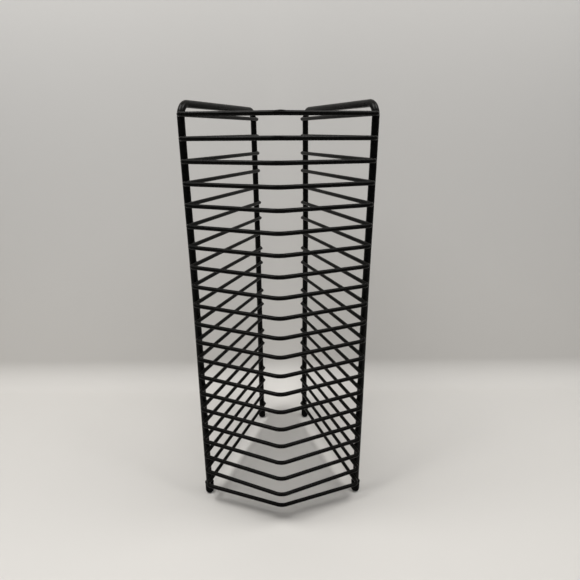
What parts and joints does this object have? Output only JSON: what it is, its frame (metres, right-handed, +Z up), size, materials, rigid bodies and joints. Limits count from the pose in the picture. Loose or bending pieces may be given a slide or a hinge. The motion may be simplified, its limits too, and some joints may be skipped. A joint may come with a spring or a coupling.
{
  "type": "cd dvd storage tower",
  "caption": "Free-standing black wire tower: two bent side frames on foot caps carry a stack of pointed level wires that hold disc cases flat, one above the other.",
  "frame": {"origin": "on the floor, under the middle of the tower's outline", "axes": "+X across the tower to the viewer's right, +Y from the nose to the back, +Z up"},
  "size_m": [0.1442, 0.1702, 0.338],
  "materials": {
    "wire_coat": "satin black coating over steel wire, softly reflective",
    "foot_cap": "matte black soft cap"
  },
  "bodies": {
    "root": {"side_frame_left": "wire_coat", "side_frame_right": "wire_coat", "shelf_wire_01": "wire_coat", "shelf_wire_02": "wire_coat", "shelf_wire_03": "wire_coat", "shelf_wire_04": "wire_coat", "shelf_wire_05": "wire_coat", "shelf_wire_06": "wire_coat", "shelf_wire_07": "wire_coat", "shelf_wire_08": "wire_coat", "shelf_wire_09": "wire_coat", "shelf_wire_10": "wire_coat", "shelf_wire_11": "wire_coat", "shelf_wire_12": "wire_coat", "shelf_wire_13": "wire_coat", "shelf_wire_14": "wire_coat", "shelf_wire_15": "wire_coat", "shelf_wire_16": "wire_coat", "shelf_wire_17": "wire_coat", "shelf_wire_18": "wire_coat", "shelf_wire_19": "wire_coat", "shelf_wire_20": "wire_coat", "shelf_wire_21": "wire_coat", "foot_cap_front_left": "foot_cap", "foot_cap_front_right": "foot_cap", "foot_cap_back_left": "foot_cap", "foot_cap_back_right": "foot_cap"}
  },
  "joints": []
}
